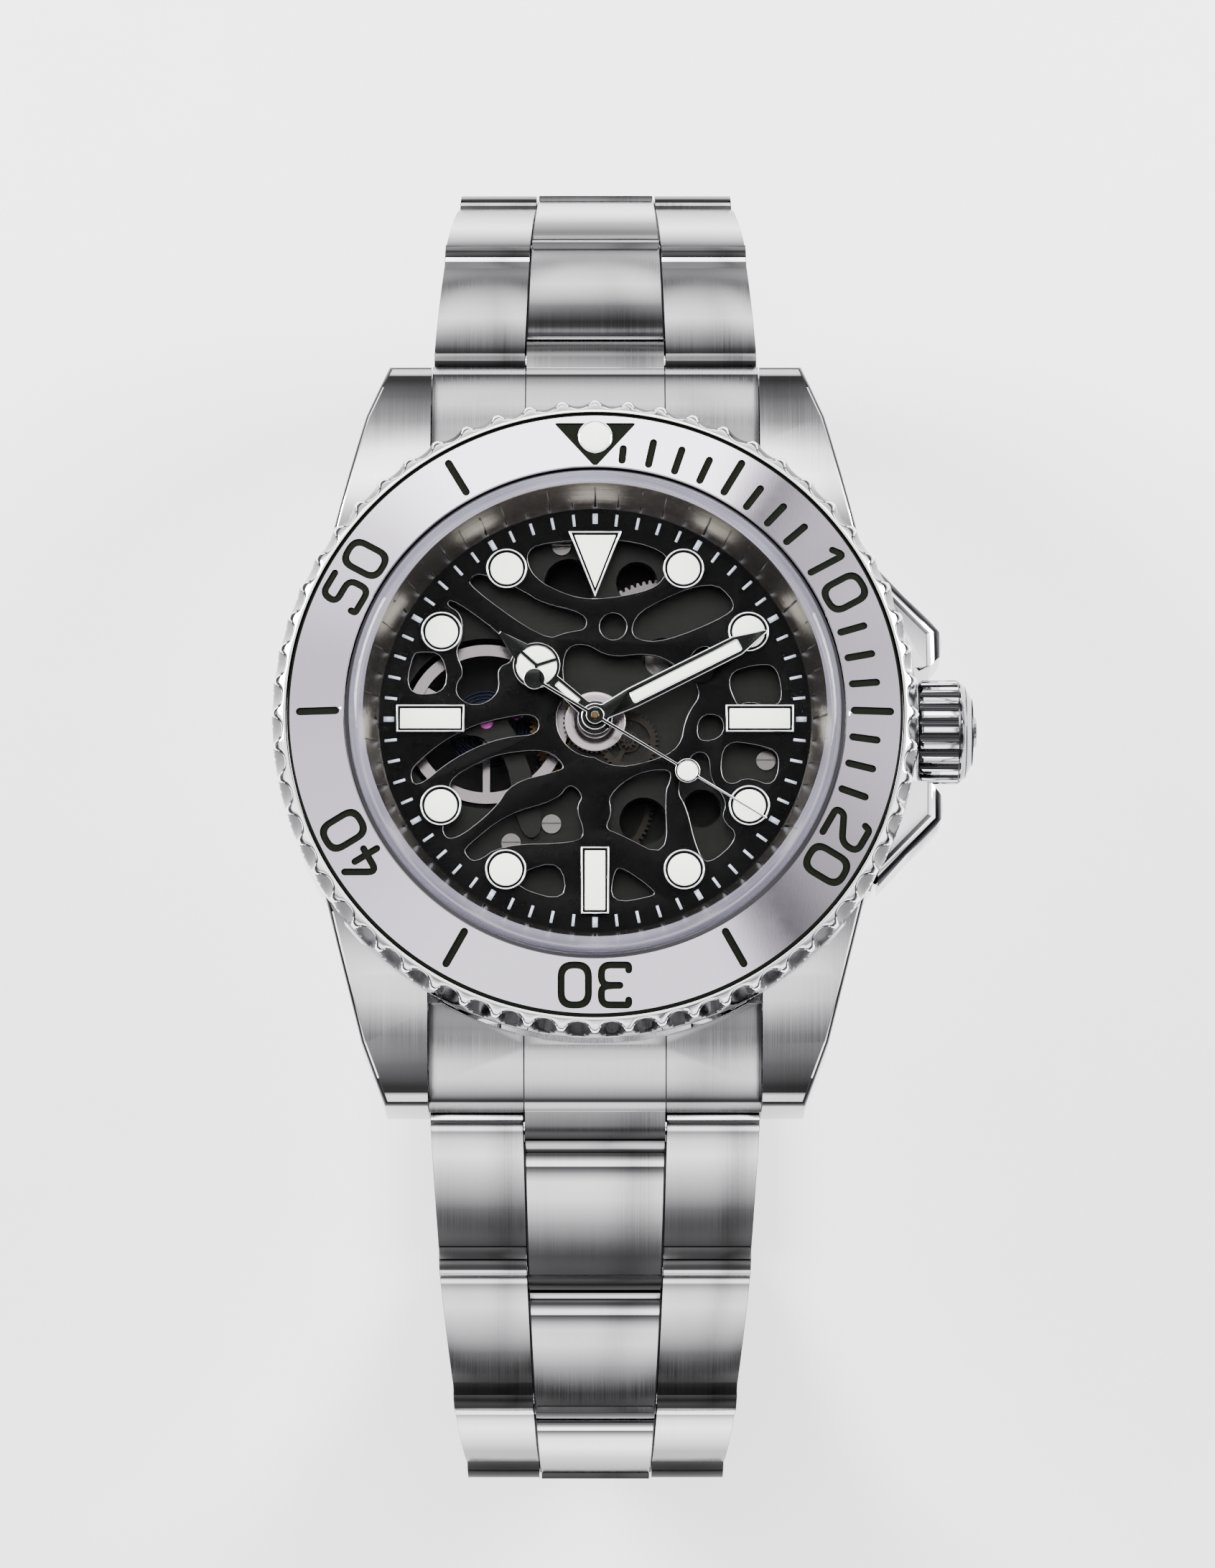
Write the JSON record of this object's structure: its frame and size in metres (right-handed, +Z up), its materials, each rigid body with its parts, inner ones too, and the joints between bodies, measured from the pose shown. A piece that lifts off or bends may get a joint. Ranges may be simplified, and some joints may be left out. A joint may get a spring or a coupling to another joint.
{
  "type": "skeleton wristwatch",
  "caption": "Round dive-style wristwatch with a cut-out dial over a visible movement, a turning scalloped bezel, a screw-in crown and a three-row metal bracelet with a folding clasp.",
  "frame": {"origin": "centre of the back window's outer face, on the axis of the hands", "axes": "+Z up through the dial, +Y towards 12 o'clock, +X towards the crown"},
  "size_m": [0.0438, 0.0854, 0.0494],
  "materials": {
    "case_steel": "satin brushed tops with polished flanks",
    "polished_steel": "mirror polished",
    "link_steel": "brushed along the bracelet",
    "insert_metal": "mirror polished with dark engraved marks",
    "dial_black": "gloss lacquer with polished edges",
    "marker_metal": "polished frames",
    "lume": "matt creamy luminous paint",
    "rehaut_metal": "turned satin",
    "plate_metal": "dark satin plate",
    "brass_gilt": "gilt",
    "wheel_steel": "polished steel wheel",
    "spring_steel": "blued steel",
    "ruby": "polished ruby",
    "seal_rubber": "matt black",
    "clear_glass": "clear sapphire"
  },
  "bodies": {
    "head": {"mid_case": "case_steel", "crown_tube": "polished_steel", "case_back": "case_steel", "back_crystal": "clear_glass", "gaskets": "seal_rubber", "crystal": "clear_glass", "rehaut": "rehaut_metal", "movement_ring": "rehaut_metal", "dial": "dial_black", "hour_markers": "marker_metal", "marker_lume": "lume", "main_plate": "plate_metal", "train_bridge": "plate_metal", "balance_cock": "plate_metal", "jewels": "ruby", "bridge_screws": "wheel_steel", "lug_bars": "polished_steel", "end_links": "link_steel"},
    "bezel_body": {"bezel": "polished_steel", "bezel_insert": "insert_metal", "bezel_pip": "lume"},
    "hour_body": {"hour_hand": "polished_steel", "hour_lume": "lume", "hour_wheel": "brass_gilt"},
    "minute_body": {"minute_hand": "polished_steel", "minute_lume": "lume", "center_wheel": "brass_gilt"},
    "seconds_body": {"seconds_hand": "polished_steel", "seconds_lume": "lume", "fourth_wheel": "brass_gilt"},
    "third_body": {"third_wheel": "brass_gilt"},
    "escape_body": {"escape_wheel": "wheel_steel"},
    "barrel_body": {"barrel": "brass_gilt", "mainspring": "spring_steel"},
    "minute_wheel_body": {"minute_wheel": "brass_gilt"},
    "fork_body": {"pallet_fork": "wheel_steel"},
    "balance_body": {"balance_wheel": "brass_gilt", "hairspring": "spring_steel"},
    "rotor_body": {"rotor": "wheel_steel"},
    "setting_body": {"setting_lever": "wheel_steel"},
    "crown_body": {"crown": "polished_steel", "winding_stem": "wheel_steel"},
    "crown_wheel_body": {"crown_wheel": "wheel_steel"},
    "ratchet_body": {"ratchet_wheel": "wheel_steel"},
    "clasp_cover_body": {"clasp_cover": "link_steel"},
    "clasp_blade_body": {"clasp_blade": "link_steel"},
    "clasp_inner_body": {"clasp_inner_blade": "link_steel"},
    "catch_body": {"clasp_catch": "polished_steel"},
    "row_12_1_body": {"row_12_1": "link_steel"},
    "row_12_2_body": {"row_12_2": "link_steel"},
    "row_12_3_body": {"row_12_3": "link_steel"},
    "row_12_4_body": {"row_12_4": "link_steel"},
    "row_12_5_body": {"row_12_5": "link_steel"},
    "row_12_6_body": {"row_12_6": "link_steel"},
    "row_6_1_body": {"row_6_1": "link_steel"},
    "row_6_2_body": {"row_6_2": "link_steel"},
    "row_6_3_body": {"row_6_3": "link_steel"},
    "row_6_4_body": {"row_6_4": "link_steel"},
    "row_6_5_body": {"row_6_5": "link_steel"},
    "row_6_6_body": {"row_6_6": "link_steel"}
  },
  "joints": [
    {"name": "bezel_turn", "type": "hinge", "parent": "head", "child": "bezel_body", "pos_m": [0, 0, 0.009], "axis": [0, 0, 1], "continuous": true},
    {"name": "minute_turn", "type": "hinge", "parent": "head", "child": "minute_body", "pos_m": [0, 0, 0.009], "axis": [0, 0, -1], "continuous": true},
    {"name": "hour_turn", "type": "hinge", "parent": "head", "child": "hour_body", "pos_m": [0, 0, 0.009], "axis": [0, 0, -1], "continuous": true},
    {"name": "seconds_turn", "type": "hinge", "parent": "head", "child": "seconds_body", "pos_m": [0, 0, 0.009], "axis": [0, 0, -1], "continuous": true},
    {"name": "third_turn", "type": "hinge", "parent": "head", "child": "third_body", "pos_m": [-0.00039, -0.00448, 0.005], "axis": [0, 0, -1], "continuous": true},
    {"name": "escape_turn", "type": "hinge", "parent": "head", "child": "escape_body", "pos_m": [-0.00303, 0.00255, 0.005], "axis": [0, 0, -1], "continuous": true},
    {"name": "barrel_turn", "type": "hinge", "parent": "head", "child": "barrel_body", "pos_m": [0.0042, 0.0042, 0.005], "axis": [0, 0, -1], "continuous": true, "deforming": ["mainspring"]},
    {"name": "minute_wheel_turn", "type": "hinge", "parent": "head", "child": "minute_wheel_body", "pos_m": [0.00208, -0.0012, 0.0076], "axis": [0, 0, -1], "continuous": true},
    {"name": "fork_rock", "type": "hinge", "parent": "head", "child": "fork_body", "pos_m": [-0.00489, 0.00127, 0.005], "axis": [0, 0, 1], "range_deg": [-5, 5]},
    {"name": "balance_swing", "type": "hinge", "parent": "head", "child": "balance_body", "pos_m": [-0.00675, 0, 0.006], "axis": [0, 0, 1], "range_deg": [-270, 270], "deforming": ["hairspring"]},
    {"name": "rotor_swing", "type": "hinge", "parent": "head", "child": "rotor_body", "pos_m": [0, 0, 0.002], "axis": [0, 0, 1], "continuous": true},
    {"name": "crown_pull", "type": "slide", "parent": "head", "child": "setting_body", "axis": [1, 0, 0], "range_m": [0, 0.0009]},
    {"name": "crown_turn", "type": "hinge", "parent": "setting_body", "child": "crown_body", "pos_m": [0.02, 0, 0.00475], "axis": [1, 0, 0], "continuous": true},
    {"name": "crown_wheel_turn", "type": "hinge", "parent": "head", "child": "crown_wheel_body", "pos_m": [0.00909, 0.00192, 0.003], "axis": [0, 0, 1], "continuous": true},
    {"name": "ratchet_turn", "type": "hinge", "parent": "head", "child": "ratchet_body", "pos_m": [0.0042, 0.0042, 0.003], "axis": [0, 0, 1], "continuous": true},
    {"name": "row_12_1_hinge", "type": "hinge", "parent": "head", "child": "row_12_1_body", "pos_m": [0, 0.0245, 0.0024], "axis": [1, 0, 0], "range_deg": [0, 20]},
    {"name": "row_12_2_hinge", "type": "hinge", "parent": "row_12_1_body", "child": "row_12_2_body", "pos_m": [0, 0.03237, -0.00196], "axis": [1, 0, 0], "range_deg": [0, 26]},
    {"name": "row_12_3_hinge", "type": "hinge", "parent": "row_12_2_body", "child": "row_12_3_body", "pos_m": [0, 0.03753, -0.00934], "axis": [1, 0, 0], "range_deg": [0, 25]},
    {"name": "row_12_4_hinge", "type": "hinge", "parent": "row_12_3_body", "child": "row_12_4_body", "pos_m": [0, 0.0391, -0.0182], "axis": [1, 0, 0], "range_deg": [0, 28]},
    {"name": "row_12_5_hinge", "type": "hinge", "parent": "row_12_4_body", "child": "row_12_5_body", "pos_m": [0, 0.03632, -0.02676], "axis": [1, 0, 0], "range_deg": [0, 30]},
    {"name": "row_12_6_hinge", "type": "hinge", "parent": "row_12_5_body", "child": "row_12_6_body", "pos_m": [0, 0.02963, -0.03278], "axis": [1, 0, 0], "range_deg": [0, 27]},
    {"name": "row_6_1_hinge", "type": "hinge", "parent": "head", "child": "row_6_1_body", "pos_m": [0, -0.0245, 0.0024], "axis": [-1, 0, 0], "range_deg": [0, 10]},
    {"name": "row_6_2_hinge", "type": "hinge", "parent": "row_6_1_body", "child": "row_6_2_body", "pos_m": [0, -0.0333, 0.00053], "axis": [-1, 0, 0], "range_deg": [0, 25]},
    {"name": "row_6_3_hinge", "type": "hinge", "parent": "row_6_2_body", "child": "row_6_3_body", "pos_m": [0, -0.04049, -0.00489], "axis": [-1, 0, 0], "range_deg": [0, 34]},
    {"name": "row_6_4_hinge", "type": "hinge", "parent": "row_6_3_body", "child": "row_6_4_body", "pos_m": [0, -0.04342, -0.0134], "axis": [-1, 0, 0], "range_deg": [0, 35]},
    {"name": "row_6_5_hinge", "type": "hinge", "parent": "row_6_4_body", "child": "row_6_5_body", "pos_m": [0, -0.04094, -0.02205], "axis": [-1, 0, 0], "range_deg": [0, 22]},
    {"name": "row_6_6_hinge", "type": "hinge", "parent": "row_6_5_body", "child": "row_6_6_body", "pos_m": [0, -0.0354, -0.02914], "axis": [-1, 0, 0], "range_deg": [0, 24]},
    {"name": "clasp_hinge", "type": "hinge", "parent": "row_6_6_body", "child": "clasp_cover_body", "pos_m": [0, -0.02745, -0.03337], "axis": [-1, 0, 0], "range_deg": [0, 25.94]},
    {"name": "clasp_fold", "type": "hinge", "parent": "clasp_cover_body", "child": "clasp_blade_body", "pos_m": [0, 0.01473, -0.03519], "axis": [-1, 0, 0], "range_deg": [0, 165]},
    {"name": "clasp_inner_fold", "type": "hinge", "parent": "clasp_blade_body", "child": "clasp_inner_body", "pos_m": [0, -0.02125, -0.03329], "axis": [-1, 0, 0], "range_deg": [-165, 0]},
    {"name": "catch_lift", "type": "hinge", "parent": "clasp_cover_body", "child": "catch_body", "pos_m": [0, 0.01648, -0.03655], "axis": [-1, 0, 0], "range_deg": [0, 70]}
  ],
  "couplings": [
    {"joint": "hour_turn", "follows": "minute_turn", "ratio": 0.083333},
    {"joint": "seconds_turn", "follows": "minute_turn", "ratio": 60},
    {"joint": "third_turn", "follows": "minute_turn", "ratio": -8},
    {"joint": "escape_turn", "follows": "minute_turn", "ratio": -600},
    {"joint": "barrel_turn", "follows": "minute_turn", "ratio": -0.14286},
    {"joint": "minute_wheel_turn", "follows": "minute_turn", "ratio": -0.33333},
    {"joint": "crown_wheel_turn", "follows": "crown_turn", "ratio": 0.7},
    {"joint": "ratchet_turn", "follows": "crown_turn", "ratio": -0.35},
    {"joint": "row_12_2_hinge", "follows": "row_12_1_hinge", "ratio": 1.3},
    {"joint": "row_12_3_hinge", "follows": "row_12_1_hinge", "ratio": 1.25},
    {"joint": "row_12_4_hinge", "follows": "row_12_1_hinge", "ratio": 1.4},
    {"joint": "row_12_5_hinge", "follows": "row_12_1_hinge", "ratio": 1.5},
    {"joint": "row_12_6_hinge", "follows": "row_12_1_hinge", "ratio": 1.35},
    {"joint": "row_6_2_hinge", "follows": "row_6_1_hinge", "ratio": 2.5},
    {"joint": "row_6_3_hinge", "follows": "row_6_1_hinge", "ratio": 3.4},
    {"joint": "row_6_4_hinge", "follows": "row_6_1_hinge", "ratio": 3.5},
    {"joint": "row_6_5_hinge", "follows": "row_6_1_hinge", "ratio": 2.2},
    {"joint": "row_6_6_hinge", "follows": "row_6_1_hinge", "ratio": 2.4},
    {"joint": "clasp_hinge", "follows": "row_6_1_hinge", "ratio": 2.5936},
    {"joint": "clasp_fold", "follows": "row_6_1_hinge", "ratio": 16.5},
    {"joint": "clasp_inner_fold", "follows": "row_6_1_hinge", "ratio": -16.5}
  ]
}
